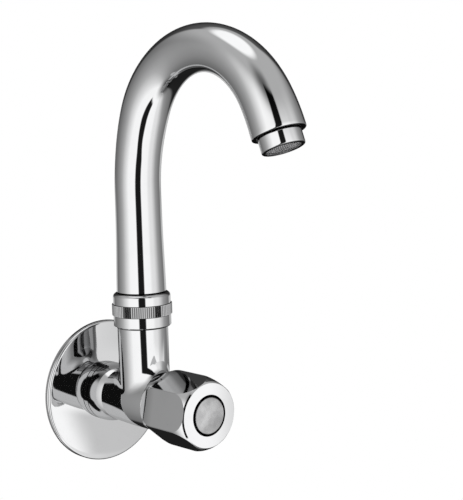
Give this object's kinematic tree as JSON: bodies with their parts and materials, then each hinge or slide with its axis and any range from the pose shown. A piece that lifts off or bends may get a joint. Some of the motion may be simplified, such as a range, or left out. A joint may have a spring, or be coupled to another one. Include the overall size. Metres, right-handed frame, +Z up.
{
  "type": "wall faucet",
  "caption": "Wall-mounted chrome tap with a round flange, horizontal valve barrel, six-sided knob and a swivelling swan-neck spout with an aerator.",
  "frame": {"origin": "point where the axis of the horizontal barrel and of the inlet thread meets the wall plane", "axes": "+Z up; +Y into the wall along the inlet thread; the knob faces -Y and the spout at rest points to -Y"},
  "size_m": [0.064, 0.1456, 0.1952],
  "materials": {
    "chrome": "polished chrome plate on brass",
    "satin_metal": "satin grey metal",
    "steel": "plain stainless steel",
    "brass": "machined brass",
    "rubber": "black seal rubber",
    "white_plastic": "white bearing plastic",
    "ceramic": "polished ceramic"
  },
  "bodies": {
    "body": {"valve_body": "chrome", "wall_flange": "chrome", "spout_nut": "chrome", "headwork_bonnet": "brass", "bonnet_gasket": "rubber", "seat_seal": "rubber", "ceramic_disc_fixed": "ceramic"},
    "spout": {"spout_pipe": "chrome", "spout_tail": "brass", "spout_slip_ring": "white_plastic", "spout_o_ring_lower": "rubber", "spout_o_ring_upper": "rubber", "aerator_housing": "chrome", "aerator_screen": "steel", "aerator_insert": "white_plastic", "aerator_washer": "rubber"},
    "handle": {"knob": "chrome", "index_button": "satin_metal", "knob_screw": "steel", "spindle": "brass", "spindle_o_ring_rear": "rubber", "spindle_o_ring_front": "rubber", "spindle_washer": "white_plastic", "spindle_circlip": "steel", "ceramic_disc_moving": "ceramic"}
  },
  "joints": [
    {"name": "knob_turn", "type": "hinge", "parent": "body", "child": "handle", "pos_m": [0, -0.056, 0], "axis": [0, -1, 0], "range_deg": [0, 180]},
    {"name": "spout_swivel", "type": "hinge", "parent": "body", "child": "spout", "pos_m": [0, -0.031, 0.05], "axis": [0, 0, 1], "range_deg": [-100, 100]}
  ]
}
